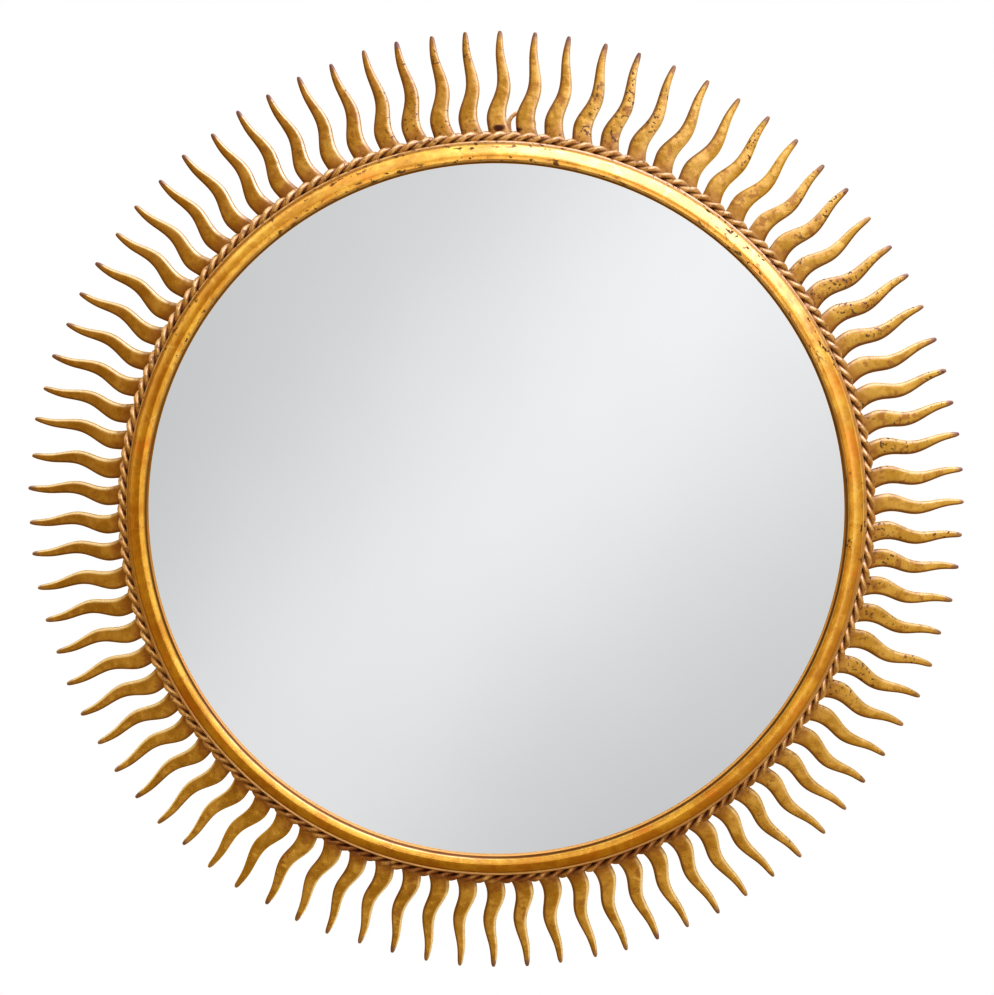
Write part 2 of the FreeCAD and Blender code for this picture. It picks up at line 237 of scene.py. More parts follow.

# %% [markdown]
# ## Gilding of the moulding
# Wear, painted shade and a painted highlight follow the section. The riser beside the glass is
# brown, partly clay that shows and partly painted shade in this recess, and a painted shade line
# lies along its top, strongest on the lower half. On the lower half a painted highlight, a bright
# line, lies between the riser and the glass. The lip is coppery, with a painted shade line above it
# on the lower half. Chips gather at the two edges, most of all at the upper right. All this could
# be painted on an unwrapped picture, but the places are rings, so the distance from the axis is
# enough to tell them apart.


# %% Gilding of the moulding
def moulding_gilding():
    material, place, shader = finish_named("gilt_moulding")
    gold, mottle, streaks = burnished_leaf(place)
    radius, right, up = from_axis(place), place.part("X"), place.part("Z")
    below = up.step(0.10, -0.15)
    # The riser is brown: partly clay that shows, partly painted shade in the recess beside the
    # glass.
    riser = radius.step(BEVEL - 0.0011, BEVEL - 0.0021)
    gold = (riser * 0.9).blend(gold, rgb(0.44, 0.25, 0.055))
    # A painted shade line along the arris at the top of the riser, strongest on the lower half.
    arris = ring_line(radius, BEVEL - 0.0023, BEVEL - 0.0003, soft=0.0007)
    arris_shade = arris * (0.25 + 0.6 * up.step(0.2, -0.1))
    gold = arris_shade.blend(gold, rgb(0.26, 0.11, 0.03))
    # A painted highlight: a bright line beside the glass on the lower half.
    land_highlight = radius.step(LAND + 0.0008, LAND + 0.0003) * below
    gold = (land_highlight * 0.9).blend(gold, rgb(0.92, 0.66, 0.30))
    crowd = place.noise(11, 2.0).step(0.42, 0.60) * (1 - 0.8 * below)
    crowd = crowd * (0.4 + 0.6 * right.step(-0.20, 0.05))
    flakes = along_frame(place, 1.7).noise(250, 3.0, 0.6).step(0.575, 0.615)
    inner_rim = radius.step(CROWN + 0.0009, CROWN - 0.0036)
    rims = inner_rim + radius.step(LIP_IN - 0.0045, LIP_IN - 0.0005)
    chips = flakes * (crowd * (0.4 + rims)).step(0.12, 0.6) * (1 - riser)
    lip = radius.step(LIP_IN + 0.0002, LIP_IN + 0.0012)
    gold = (lip * 0.8).blend(gold, rgb(0.54, 0.32, 0.11))
    # A painted shade line just inside the lip on the lower half.
    lip_shade = ring_line(radius, LIP_IN - 0.0012, LIP_IN + 0.0016, soft=0.0008)
    gold = (lip_shade * below * 0.6).blend(gold, rgb(0.36, 0.16, 0.03))
    feed(shader,
         Base_Color=(chips * 0.9).blend(gold, rgb(0.17, 0.085, 0.04)),
         Metallic=1 - 0.8 * chips - 0.4 * land_highlight,
         Roughness=0.30 + 0.10 * streaks + 0.25 * chips + 0.08 * mottle + 0.2 * riser,
         Specular_Tint=rgb(1.0, 0.80, 0.40),
         Coat_Weight=0.9 * (1 - riser) * (1 - arris_shade) * (1 - 0.8 * chips),
         Coat_Roughness=0.22,
         Coat_IOR=2.2,
         Normal=unevenness(place, strength=0.35, distance=0.0008, broad=70, fine=420))
    return material


gilt_moulding = moulding_gilding()
print(gilt_moulding.name, len(gilt_moulding.node_tree.nodes), "nodes")

# %% [markdown]
# ## Leaf on the rays
# The flames were gilded one by one, so no two have the same share of blots. Those at the upper
# right are more blotched, darker at the foot and painted paler towards the tip, a painted highlight
# on the side of the lamp. Those at the upper left are painted brown towards their tips, a painted
# shade on the side away from the lamp. A material for each flame could say that. One material is
# simpler, with attributes of the mesh that tell it which flame it is on and how far up. Two dark
# spots beside the hanger are placed at given points.


# %% Leaf on the rays
def ray_leaf(place, own, climb):
    """The colour with painted tip highlight and shade, the mottle, the blots and the upper right
    part.
    """
    right, up = place.part("X"), place.part("Z")
    mottle = place.noise(60, 5.0, 0.6).step(0.36, 0.64)
    gold = mottle.blend(rgb(0.58, 0.365, 0.06), rgb(0.72, 0.495, 0.135))
    blots = place.noise(105, 3.0, 0.6).step(0.53, 0.63)
    weathered_and_lit = right.step(-0.05, 0.25) * up.step(-0.15, 0.15)
    gold = (blots * (0.1 + 0.6 * own + 0.3 * weathered_and_lit)).blend(gold, rgb(0.46, 0.24, 0.06))
    # At the upper right the feet are darker and the tips painted paler: a painted highlight on the
    # lamp's side.
    gold = (weathered_and_lit * climb.step(0.6, 0.1) * 0.3).blend(gold, rgb(0.50, 0.33, 0.05))
    gold = (weathered_and_lit * climb.step(0.4, 0.8) * 0.35).blend(gold, rgb(0.80, 0.59, 0.16))
    # At the left the outer halves are painted brown: a painted shade on the side away from the
    # lamp.
    painted_outer_shade = right.step(0.12, -0.12) * up.step(-0.25, 0.05) * climb.step(0.0, 0.5)
    return (painted_outer_shade * 0.45).blend(gold, rgb(0.40, 0.20, 0.02)), mottle, blots, weathered_and_lit


def hanger_spots(place, ragged):
    """Two flat, ragged dark spots on the feet of the flames beside the hanger."""
    spots = []
    for across, height in ((0.0030, 0.3640), (0.0195, 0.3627)):
        away = ((place.part("X") - across) ** 2 + (1.7 * (place.part("Z") - height)) ** 2) ** 0.5
        spots.append((away + 0.009 * ragged).step(0.0110, 0.0074))
    return place.sum("MAXIMUM", *spots)


print("ray leaf and stains ready")

# %% [markdown]
# ## Gilding of the rays
# The edges of a flame that face the light at the upper right are painted pale, a painted
# highlight, and the edges that face away are painted brown, a painted shade. A flame is also brown
# at its foot and at its tip, and freckled with iron, most of all at the upper right. The edges
# follow the flame and not the room, so a third attribute says how far its surface faces the light.


# %% Gilding of the rays
def ray_gilding():
    material, place, shader = finish_named("gilt_ray")
    own, climb, faces_light = [place.node("ShaderNodeAttribute", {"attribute_name": name}, out=2)
                          for name in ("ray_tone", "climb", "faces_light")]
    gold, mottle, blots, weathered_and_lit = ray_leaf(place, own, climb)
    exposed = (place.part("X") + 0.6 * place.part("Z")).step(-0.10, 0.25)
    # Painted highlight on the edges that face the light, painted shade on the edges that face away.
    painted_lit_edge = faces_light.step(0.10, 0.30) * faces_light.step(0.74, 0.56) * (1 - 0.6 * exposed)
    painted_shaded_edge = (faces_light - 0.12 * weathered_and_lit).step(-0.14, -0.46)
    gold = (painted_lit_edge * 0.8).blend(gold, rgb(1.0, 0.88, 0.58))
    gold = (painted_shaded_edge * 0.8).blend(gold, rgb(0.28, 0.13, 0.06))
    ragged = place.noise(150, 3.0)
    root = (climb - 0.2 * ragged).step(0.14, -0.02)
    gold = (root * (0.75 - 0.35 * exposed)).blend(gold, rgb(0.42, 0.19, 0.05))
    tip = (climb + 0.14 * ragged).step(0.96, 1.05) * (0.35 + 0.65 * own)
    gold = tip.blend(gold, rgb(0.33, 0.19, 0.15))
    crowd = place.noise(17, 2.0).step(0.45, 0.62) * (0.2 + 0.8 * exposed)
    specks = place.noise(300, 2.0, 0.5).step(0.60, 0.645) * crowd
    gold = (specks * 0.85).blend(gold, rgb(0.15, 0.075, 0.03))
    dark_spot = hanger_spots(place, ragged)
    feed(shader,
         Base_Color=(dark_spot * 0.95).blend(gold, rgb(0.12, 0.025, 0.006)),
         Metallic=0.45 - 0.2 * painted_lit_edge - 0.3 * specks - 0.2 * tip - 0.4 * dark_spot,
         Roughness=0.23 + 0.10 * mottle + 0.12 * blots + 0.15 * root + 0.3 * dark_spot,
         Coat_Weight=0.3 - 0.3 * dark_spot,
         Coat_Roughness=0.15,
         Normal=unevenness(place, strength=0.5, distance=0.0022, broad=95, fine=330))
    return material


gilt_ray = ray_gilding()
print(gilt_ray.name, len(gilt_ray.node_tree.nodes), "nodes")

# %% [markdown]
# ## Gilding of the rope
# The rope is palest on the outside of its wires and painted dark in the groove between them, a
# painted shade. Below, where it lies under the lip, it is painted dark in patches, a painted shade.
# The groove is again an attribute of the mesh. The wire of the hanging ring has the same finish,
# so one function serves both; it is paler, partly its own colour and partly painted light, since
# the wire lies in the shade of the rays.


# %% Gilding of the rope
def rope_gilding(name, bright, deep, metal):
    material, place, shader = finish_named(name)
    groove = place.node("ShaderNodeAttribute", {"attribute_name": "groove"}, out=2)
    mottle = place.noise(80, 4.0, 0.6).step(0.34, 0.66)
    gold = mottle.blend(deep, bright)
    # Painted shade in the groove between the wires.
    groove_shade = (groove + 0.3 * place.noise(160, 3.0)).step(0.42, 0.74)
    gold = (groove_shade * 0.7).blend(gold, rgb(0.42, 0.22, 0.07))
    # Painted shade on the lower part of the rope, in patches.
    lower_shade = place.part("Z").step(-0.16, -0.34) * place.noise(60, 3.0).step(0.30, 0.60)
    gold = (lower_shade * 0.75).blend(gold, rgb(0.34, 0.12, 0.035))
    worn = place.noise(230, 3.0).step(0.58, 0.66)
    feed(shader,
         Base_Color=(worn * 0.7).blend(gold, rgb(0.30, 0.15, 0.07)),
         Metallic=metal - 0.5 * metal * worn,
         Roughness=0.28 + 0.12 * mottle + 0.2 * groove_shade,
         Coat_Weight=0.5,
         Coat_Roughness=0.2,
         Normal=unevenness(place, strength=0.6, distance=0.0012, broad=150, fine=480))
    return material


gilt_rope = rope_gilding("gilt_rope", rgb(0.83, 0.62, 0.33), rgb(0.69, 0.46, 0.19), metal=0.6)
# The ring wire is painted paler: partly its own colour, partly painted light for a wire in the
# rays' shade.
ring_wire = rope_gilding("ring_wire", rgb(1.0, 0.84, 0.60), rgb(0.95, 0.74, 0.48), metal=0.3)
print(gilt_rope.name, ring_wire.name)

# %% [markdown]
# ## Iron of the hidden side
# The hoop, the tabs and the staple are brown iron on which the gilder's brush left traces. Rust is
# a fine noise, the traces are a coarse one, and where gold lies the surface is smoother and more
# metallic.


# %% Aged iron
def aged_iron():
    material, place, shader = finish_named("aged_iron")
    rust = place.noise(70, 6.0, 0.65).step(0.35, 0.7)
    gilding = place.noise(24, 4.0, 0.6).step(0.5, 0.66)
    colour = rust.blend(rgb(0.17, 0.115, 0.085), rgb(0.30, 0.155, 0.08))
    colour = (gilding * 0.75).blend(colour, rgb(0.66, 0.43, 0.14))
    feed(shader,
         Base_Color=colour,
         Metallic=0.45 + 0.5 * gilding,
         Roughness=0.62 - 0.18 * gilding,
         Normal=unevenness(place, strength=0.5, distance=0.001, broad=140, fine=500))
    return material


iron = aged_iron()
print(iron.name)

# %% [markdown]
# ## Board behind the glass
# Hardboard is pressed wood fibre. Close up it is a fine speckle, and from afar it has darker
# clouds, so two noises of very different scale are laid over each other.


# %% Hardboard
def hardboard():
    material, place, shader = finish_named("hardboard")
    fibres = place.noise(620, 4.0, 0.7).step(0.3, 0.7)
    clouds = place.noise(9, 4.0, 0.6).step(0.3, 0.7)
    colour = fibres.blend(rgb(0.42, 0.26, 0.15), rgb(0.54, 0.36, 0.22))
    colour = (clouds * 0.4).blend(colour, rgb(0.34, 0.20, 0.12))
    feed(shader,
         Base_Color=colour,
         Roughness=0.58 + 0.16 * fibres,
         Normal=unevenness(place, strength=0.3, distance=0.0006, broad=240, fine=900))
    return material


board_brown = hardboard()
print(board_brown.name)

# %% [markdown]
# ## Mirror glass
# Silver behind the glass makes it a mirror, which for a shader is a metal with no roughness at all.
# The glass itself only shows at the rim, where it is green.


# %% Silvered glass
def silvered_glass():
    material, place, shader = finish_named("silvered_glass")
    film = place.noise(5, 2.0).step(0.3, 0.7)
    edge = from_axis(place).step(DISC - 0.002, DISC)
    colour = film.blend(rgb(0.925, 0.93, 0.94), rgb(0.94, 0.945, 0.95))
    feed(shader,
         Base_Color=edge.blend(colour, rgb(0.30, 0.42, 0.38)),
         Metallic=1.0,
         Roughness=0.0)
    return material


mirror_silver = silvered_glass()
print(mirror_silver.name)

# %% [markdown]
# ## Working by hand in code
# Every piece starts from a primitive, which is shaped in edit mode. These helpers start with a
# clean selection, keep a piece's place in its mesh, give it attributes, and hand it to the body of
# the frame that it moves with.


# %% Helpers for modelling
def fresh():
    if bpy.context.mode != "OBJECT":
        bpy.ops.object.mode_set(mode="OBJECT")
    bpy.ops.object.select_all(action="DESELECT")


def named(name):
    piece = bpy.context.active_object
    piece.name = name
    piece.data.name = name
    return piece


def only(piece):
    fresh()
    piece.select_set(True)
    bpy.context.view_layer.objects.active = piece


def choose(piece, kind, wanted):
    """In edit mode, select only the vertices, edges or faces that pass a test."""
    bpy.ops.mesh.select_mode(type=kind)
    bpy.ops.mesh.select_all(action="DESELECT")
    bpy.ops.object.mode_set(mode="OBJECT")
    mesh = piece.data
    for item in {"VERT": mesh.vertices, "EDGE": mesh.edges, "FACE": mesh.polygons}[kind]:
        item.select = bool(wanted(item))
    bpy.ops.object.mode_set(mode="EDIT")


def add_modifier(piece, kind, **settings):
    """Add a modifier, set it and apply it."""
    only(piece)
    modifier = piece.modifiers.new(kind.lower(), kind)
    for key, value in settings.items():
        setattr(modifier, key, value)
    bpy.ops.object.modifier_apply(modifier=modifier.name)


def give(piece, name, values):
    """Add one number for each point of a mesh as an attribute that its finish can read."""
    piece.data.attributes.new(name, "FLOAT", "POINT").data.foreach_set("value", values)


def settle(piece, smooth_angle):
    """Put a piece's place into its mesh and smooth its gentle edges."""
    only(piece)
    bpy.ops.object.transform_apply(location=True, rotation=True, scale=True)
    bpy.ops.object.shade_smooth_by_angle(angle=math.radians(smooth_angle))
    piece.data.validate()


def hand_over(piece, body, material, slot, *nodes):
    piece.data.materials.clear()
    piece.data.materials.append(material)
    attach(piece, body)
    if nodes:
        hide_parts(*nodes)
    print(piece.name, len(piece.data.polygons), "faces")


print("helpers ready in", bpy.context.mode.lower(), "mode")

# %% [markdown]
# ## The hoop
# The hoop is a flat bar bent into a ring, deep enough to hold glass and board. It could be two
# cylinders, one cut from the other. Turning its section about the axis gives clean rows of faces: a
# ring of points is laid on the corners of the section, its corners are rounded in the flat, and
# Spin turns it all the way round. Spin leaves the last copy on top of the first, so doubles are
# merged before the faces are turned outwards.


# %% A section turned about the mirror's axis
def turned_ring(name, corners, rounding, steps=288):
    fresh()
    bpy.ops.mesh.primitive_circle_add(vertices=len(corners), radius=0.01)
    ring = named(name)
    for vertex, (radius, depth) in zip(ring.data.vertices, corners):
        vertex.co = (radius, -depth, 0.0)
    bpy.ops.object.mode_set(mode="EDIT")
    bpy.ops.mesh.select_all(action="SELECT")
    bpy.ops.mesh.bevel(offset=rounding, segments=3, affect="VERTICES")
    bpy.ops.mesh.select_all(action="SELECT")
    bpy.ops.mesh.spin(steps=steps, angle=2 * math.pi, center=(0, 0, 0), axis=(0, 1, 0))
    bpy.ops.mesh.select_all(action="SELECT")
    bpy.ops.mesh.remove_doubles(threshold=1e-5)
    bpy.ops.mesh.normals_make_consistent(inside=False)
    bpy.ops.object.mode_set(mode="OBJECT")
    settle(ring, 40)
    return ring


hoop_corners = [(HOOP_IN, 0.0), (HOOP_OUT, 0.0), (HOOP_OUT, HOOP_FRONT), (HOOP_IN, HOOP_FRONT)]
hoop = turned_ring("hoop_bar", hoop_corners, rounding=0.0004)
hand_over(hoop, "frame", iron, "aged_iron", "frame_hoop")

# %% [markdown]
# ## The moulding
# The moulding is turned in the same way. Its section climbs from the glass to a narrow bevel, rolls
# over the crown, falls in a rounded slope and ends in a thin lip. The slope is a piece of a circle,
# so its points are the crown's place turned about the circle's centre in equal steps.


# %% Moulding
def slope_points(count):
    """Points on the rounded slope from the crown down to the lip."""
    crown, lip = Vector((CROWN, CROWN_TOP)), Vector((LIP_IN, LIP_TOP))
    chord = lip - crown
    inward = Vector((chord.y, -chord.x)).normalized()
    centre = (crown + lip) / 2 + inward * math.sqrt(SLOPE_RADIUS ** 2 - (chord.length / 2) ** 2)
    start, end = crown - centre, lip - centre
    turn = start.angle_signed(end)
    points = []
    for index in range(count + 1):
        points.append(tuple(centre + Matrix.Rotation(-turn * index / count, 2) @ start))
    return points


inner_side = [(SIGHT, GLASS_FRONT), (SIGHT, LAND_TOP), (LAND, LAND_TOP), (BEVEL, BEVEL_TOP)]
outer_side = [(LIP_OUT, LIP_TOP), (LIP_OUT, HOOP_FRONT), (LIP_IN, HOOP_FRONT)]
back_side = [(CROWN, HOOP_FRONT), (CROWN, GLASS_FRONT)]
moulding_corners = inner_side + slope_points(6) + outer_side + back_side
moulding = turned_ring("moulding_ring", moulding_corners, rounding=0.0005)
hand_over(moulding, "frame", gilt_moulding, "gilt_moulding", "front_moulding")

# %% [markdown]
# ## Weld bead and rope bed
# The rope does not float round the frame. Behind it a bead of weld joins the rays to the hoop, and
# in front of it a fillet of solder fills the gap under the lip. Both are low turned rings with a
# bulging outer side.

# %% Weld bead and rope bed
bead_corners = [(HOOP_OUT, 0.0205), (0.3533, 0.0225), (0.3536, 0.0262), (HOOP_OUT, 0.0285)]
bead = turned_ring("weld_bead", bead_corners, rounding=0.0008)
hand_over(bead, "frame", gilt_rope, "gilt_rope")
fillet_corners = [(HOOP_OUT, 0.0330), (0.3526, 0.0352), (0.3518, 0.0374), (HOOP_OUT, 0.0384)]
fillet = turned_ring("rope_fillet", fillet_corners, rounding=0.0005)
hand_over(fillet, "frame", gilt_rope, "gilt_rope")

# %% [markdown]
# ## Glass and board
# Both are discs with a broken edge. A filled circle is stood up to face the viewer, pulled to its
# thickness and bevelled along its two rims. An inset just inside each rim keeps the smooth shading
# of the bevel away from the middle, which would otherwise reflect like a dome. A little slack keeps
# the board off the silver.


# %% Round sheets
def round_sheet(name, back, front, edge):
    fresh()
    bpy.ops.mesh.primitive_circle_add(vertices=256, radius=DISC, fill_type="NGON",
                                      location=(0, -back, 0), rotation=(math.pi / 2, 0, 0))
    sheet = named(name)
    only(sheet)
    bpy.ops.object.transform_apply(location=True, rotation=True, scale=True)
    bpy.ops.object.mode_set(mode="EDIT")
    bpy.ops.mesh.select_all(action="SELECT")
    bpy.ops.mesh.extrude_region_move(TRANSFORM_OT_translate={"value": (0, back - front, 0)})
    choose(sheet, "EDGE", lambda item: abs(sheet.data.vertices[item.vertices[0]].co.y
                                           - sheet.data.vertices[item.vertices[1]].co.y) < 1e-6)
    bpy.ops.mesh.bevel(offset=edge, segments=2)
    choose(sheet, "FACE", lambda item: item.area > 0.1)
    bpy.ops.mesh.inset(thickness=4 * edge)
    bpy.ops.mesh.select_all(action="SELECT")
    bpy.ops.mesh.normals_make_consistent(inside=False)
    bpy.ops.object.mode_set(mode="OBJECT")
    settle(sheet, 30)
    return sheet


SLACK = 0.0001
glass = round_sheet("glass_disc", GLASS_BACK, GLASS_FRONT, edge=0.0004)
hand_over(glass, "frame", mirror_silver, "silvered_glass", "mirror_glass")
board = round_sheet("board_disc", BOARD_BACK, GLASS_BACK - SLACK, edge=0.0005)
hand_over(board, "frame", board_brown, "hardboard", "backing_board")

# %% [markdown]
# ## The rope
# Two wires twisted together make the rope. A pattern of bumps on a plain ring would look flat from
# the side, so the twist is real: two small circles, less than a wire's width apart, are drawn out
# along a line by a Screw modifier that turns them once for each pitch. A Curve modifier then bends
# the straight rope round the frame, and its two ends meet at the top, as they do on the real one.
# The groove between the wires is measured while the rope is still straight.


# %% Two twisted wires bent round the frame
def twisted_rope():
    wire, offset, sides, steps, joint = 0.0032, 0.0024, 12, 14, math.radians(-1.5)
    fresh()
    bpy.ops.curve.primitive_bezier_circle_add(radius=ROPE_RADIUS)
    path = bpy.context.active_object
    path.data.resolution_u = 64
    pitch = path.data.splines[0].calc_length() / ROPE_TURNS
    fresh()
    for side in (offset, -offset):
        bpy.ops.mesh.primitive_circle_add(vertices=sides, radius=wire, location=(0, side, 0),
                                          rotation=(0, math.pi / 2, 0))
    for item in bpy.context.scene.objects:
        item.select_set(item.name.startswith("Circle"))
    bpy.ops.object.join()
    rope = named("rope_twist")
    only(rope)
    bpy.ops.object.transform_apply(location=True, rotation=True, scale=True)
    add_modifier(rope, "SCREW", axis="X", angle=-2 * math.pi, screw_offset=pitch, steps=steps,
                 render_steps=steps, iterations=ROPE_TURNS, use_merge_vertices=False)
    spread = [math.hypot(v.co.y, v.co.z) for v in rope.data.vertices]
    give(rope, "groove", [1 - min(s / (wire + offset), 1) for s in spread])
    add_modifier(rope, "CURVE", object=path, deform_axis="POS_X")
    bpy.data.objects.remove(path)
    stand_up = Matrix.Translation((0, -ROPE_DEPTH, 0)) @ Matrix.Rotation(math.pi / 2, 4, "X")
    rope.data.transform(Matrix.Rotation(math.pi / 2 + joint, 4, "Y") @ stand_up)
    only(rope)
    bpy.ops.object.mode_set(mode="EDIT")
    bpy.ops.mesh.select_all(action="SELECT")
    before = len(rope.data.vertices)
    bpy.ops.mesh.remove_doubles(threshold=0.0002)
    bpy.ops.mesh.normals_make_consistent(inside=False)
    bpy.ops.object.mode_set(mode="OBJECT")
    print("ends joined at", before - len(rope.data.vertices), "points, box",
          [round(v, 4) for v in rope.dimensions])
    settle(rope, 60)
    return rope


rope = twisted_rope()
hand_over(rope, "frame", gilt_rope, "gilt_rope", "rope_ring")

# %% [markdown]
# ## One ray
# A ray is a forged flat bar: it flares at the foot, waves twice and runs out to a blunt tip. A
# traced outline would be hard to change, so the wave and the width are two short lists of heights
# in millimetres, eased in between.


# %% Wave and width of a ray
WAVE = [(0.0, 1.1), (24.0, -3.95), (54.0, 2.6), (91.0, -1.9), (105.0, -1.7)]
WIDTH = [(24.0, 18.4), (54.0, 12.9), (91.0, 6.9), (100.0, 5.4), (103.5, 4.2), (105.0, 2.6)]
FOOT_WIDTH = 24.0
ROWS = [0, 3, 7, 12, 18, 24, 30, 36, 42, 48, 54, 60, 66, 72, 78, 84, 91, 96, 100, 103, 104.6, 105]


def between(table, height, ease):
    for (low, start), (high, end) in zip(table, table[1:]):
        if height <= high:
            share = max(0.0, (height - low) / (high - low))
            return start + (end - start) * ease(share)
    return table[-1][1]


def ray_swing(height):
    return between(WAVE, height, lambda share: (1 - math.cos(math.pi * share)) / 2)


def ray_width(height):
    foot, belly = WIDTH[0]
    if height < foot:
        return belly + (FOOT_WIDTH - belly) * (1 - height / foot) ** 2
    return between(WIDTH, height, lambda share: share)


print([round(ray_width(h), 1) for h in ROWS])

# %% [markdown]
# ## Drawing the ray
# The ray starts as a small grid with a line down its middle. Its upper end is extruded row by row,
# and each new row is scaled to its width about its own middle. The blade will lean back towards the
# wall, so it is drawn a little longer than it looks from the front.


# %% Draw one ray flat
MM = 0.001
LEAN = math.atan2(RAY_SWEEP, RAY_LENGTH)
STRETCH = 1 / math.cos(LEAN)


def flat_ray():
    fresh()
    bpy.ops.mesh.primitive_grid_add(x_subdivisions=2, y_subdivisions=1, size=1.0,
                                    rotation=(math.pi / 2, 0, 0))
    ray = named("forged_ray")
    only(ray)
    bpy.ops.object.transform_apply(location=True, rotation=True, scale=True)
    for vertex in ray.data.vertices:
        height = ROWS[0] if vertex.co.z < 0 else ROWS[1]
        side = ray_width(height) * vertex.co.x
        vertex.co = ((ray_swing(height) + side) * MM, 0, height * STRETCH * MM)
    bpy.ops.object.mode_set(mode="EDIT")
    for low, high in zip(ROWS[1:], ROWS[2:]):
        level = low * STRETCH * MM
        choose(ray, "VERT", lambda item: item.co.z > level - 1e-5)
        move = ((ray_swing(high) - ray_swing(low)) * MM, 0, (high - low) * STRETCH * MM)
        bpy.ops.mesh.extrude_region_move(TRANSFORM_OT_translate={"value": move})
        middle = (ray_swing(high) * MM, 0, high * STRETCH * MM)
        wider = ray_width(high) / ray_width(low)
        bpy.ops.transform.resize(value=(wider, 1, 1), center_override=middle)
    bpy.ops.object.mode_set(mode="OBJECT")
    return ray


ray_pattern = flat_ray()
print("flat ray", len(ray_pattern.data.polygons), "faces,", round(ray_pattern.dimensions.z, 4), "m")

# %% [markdown]
# ## Hammering the ray
# The smith left the front slightly crowned and drew its edges down. The sheet is pulled forward to
# its thickness, an inset raises the front face, and its border is then moved in to make the
# drawn-down edge. The blade thins towards the tip, and one subdivision rounds the outline. The
# height of each point is kept for the gilding.


# %% Thickness, crown and edges
def hammer(ray):
    root_thick, tip_thick, edge_in, edge_down, crown = 5.0, 3.0, 3.2, 1.6, 0.3
    only(ray)
    bpy.ops.object.mode_set(mode="EDIT")
    bpy.ops.mesh.select_mode(type="FACE")
    bpy.ops.mesh.select_all(action="SELECT")
    forward = (0, -(root_thick - edge_down) * MM, 0)
    bpy.ops.mesh.extrude_region_move(TRANSFORM_OT_translate={"value": forward})
    bpy.ops.mesh.inset(thickness=0.2 * MM, depth=edge_down * MM, use_even_offset=True)
    bpy.ops.mesh.select_all(action="SELECT")
    bpy.ops.mesh.normals_make_consistent(inside=False)
    bpy.ops.object.mode_set(mode="OBJECT")
    for vertex in ray.data.vertices:
        height = min(vertex.co.z / STRETCH, RAY_LENGTH) / MM
        half, side = ray_width(height) / 2, vertex.co.x / MM - ray_swing(height)
        in_front = vertex.co.y < -(root_thick - 0.1) * MM
        if in_front and abs(side) > half / 2:
            inside = half - min(edge_in, 0.4 * half)
            vertex.co.x = (ray_swing(height) + math.copysign(inside, side)) * MM
            vertex.co.y += min(crown, 0.06 * half) * MM
        vertex.co.y *= 1 - (1 - tip_thick / root_thick) * vertex.co.z / (RAY_LENGTH * STRETCH)
    add_modifier(ray, "SUBSURF", levels=1, render_levels=1)
    tallest = max(vertex.co.z for vertex in ray.data.vertices)
    climb = [vertex.co.z / tallest for vertex in ray.data.vertices]
    give(ray, "climb", climb)
    for vertex, share in zip(ray.data.vertices, climb):
        vertex.co.z = share * RAY_LENGTH * STRETCH
    settle(ray, 50)


hammer(ray_pattern)
print("ray", [round(v / MM, 1) for v in ray_pattern.dimensions])

# %% [markdown]
# ## Places of the rays
# The rays were spaced and cut by eye. Their angles drift and their lengths swell in a few slow
# waves, so both are short sums of cosines and not lists of 86 numbers. Each row gives the waves in
# one turn, their height and their phase in degrees.


# %% Where a ray stands and how far it reaches
DRIFT = [(1, 0.15, 87), (2, 0.24, 134), (3, 0.10, 262), (4, 0.19, 208), (5, 0.14, 306)]
SWELL = [(1, 0.0010, 347), (2, 0.0030, 23), (3, 0.0014, 64), (4, 0.0006, 316), (5, 0.0007, 44)]
MEAN_REACH, TOP_REACH = 0.1018, 0.1048


def waves(table, angle):
    return sum(size * math.cos(math.radians(times * angle - phase)) for times, size, phase in table)


def ray_angle(index):
    """Degrees clockwise from the top."""
    even = RAY_START + index * 360 / RAY_COUNT
    return even + waves(DRIFT, even)


def ray_reach(angle):
    """Length of a ray, which is greatest at the top."""
    return min(MEAN_REACH + waves(SWELL, angle), TOP_REACH)


print("reach", [round(ray_reach(angle) / MM, 1) for angle in range(0, 360, 45)])

# %% [markdown]
# ## One ray in its place
# No two hand-made flames are quite alike. A copy of the ray is stretched above its neck, leaned and
# widened a little its own way, and turned to its place. Those at the upper right all lean
# clockwise. In its place a copy also learns which of its edges face the light at the upper right,
# for the painted highlight and painted shade on its edges.


# %% A copy of the ray, stretched, leaned and turned
NECK, BLADE, LONGEST = 0.054, 0.005, 0.1045
UNEVEN_LENGTH, UNEVEN_TILT, UNEVEN_WIDTH = 0.0008, 0.4, 0.04
# In degrees: where the lean is greatest, its spread, its size, and the turn back that goes with it.
LEAN_MIDDLE, LEAN_SPREAD, LEAN_MOST, LEAN_BACK = 33, 20, 2.0, 0.1
# The side the light comes from, for the painted highlight and shade on the edges of the rays.
LIGHT_FROM = Vector((0.6, 0.0, 0.8))


def lengthen(mesh, reach):
    """Stretch a ray above its neck until it has its length."""
    neck, share = NECK * STRETCH, (reach - NECK) / (RAY_LENGTH - NECK)
    for vertex in mesh.vertices:
        if vertex.co.z > neck:
            vertex.co.z = neck + (vertex.co.z - neck) * share


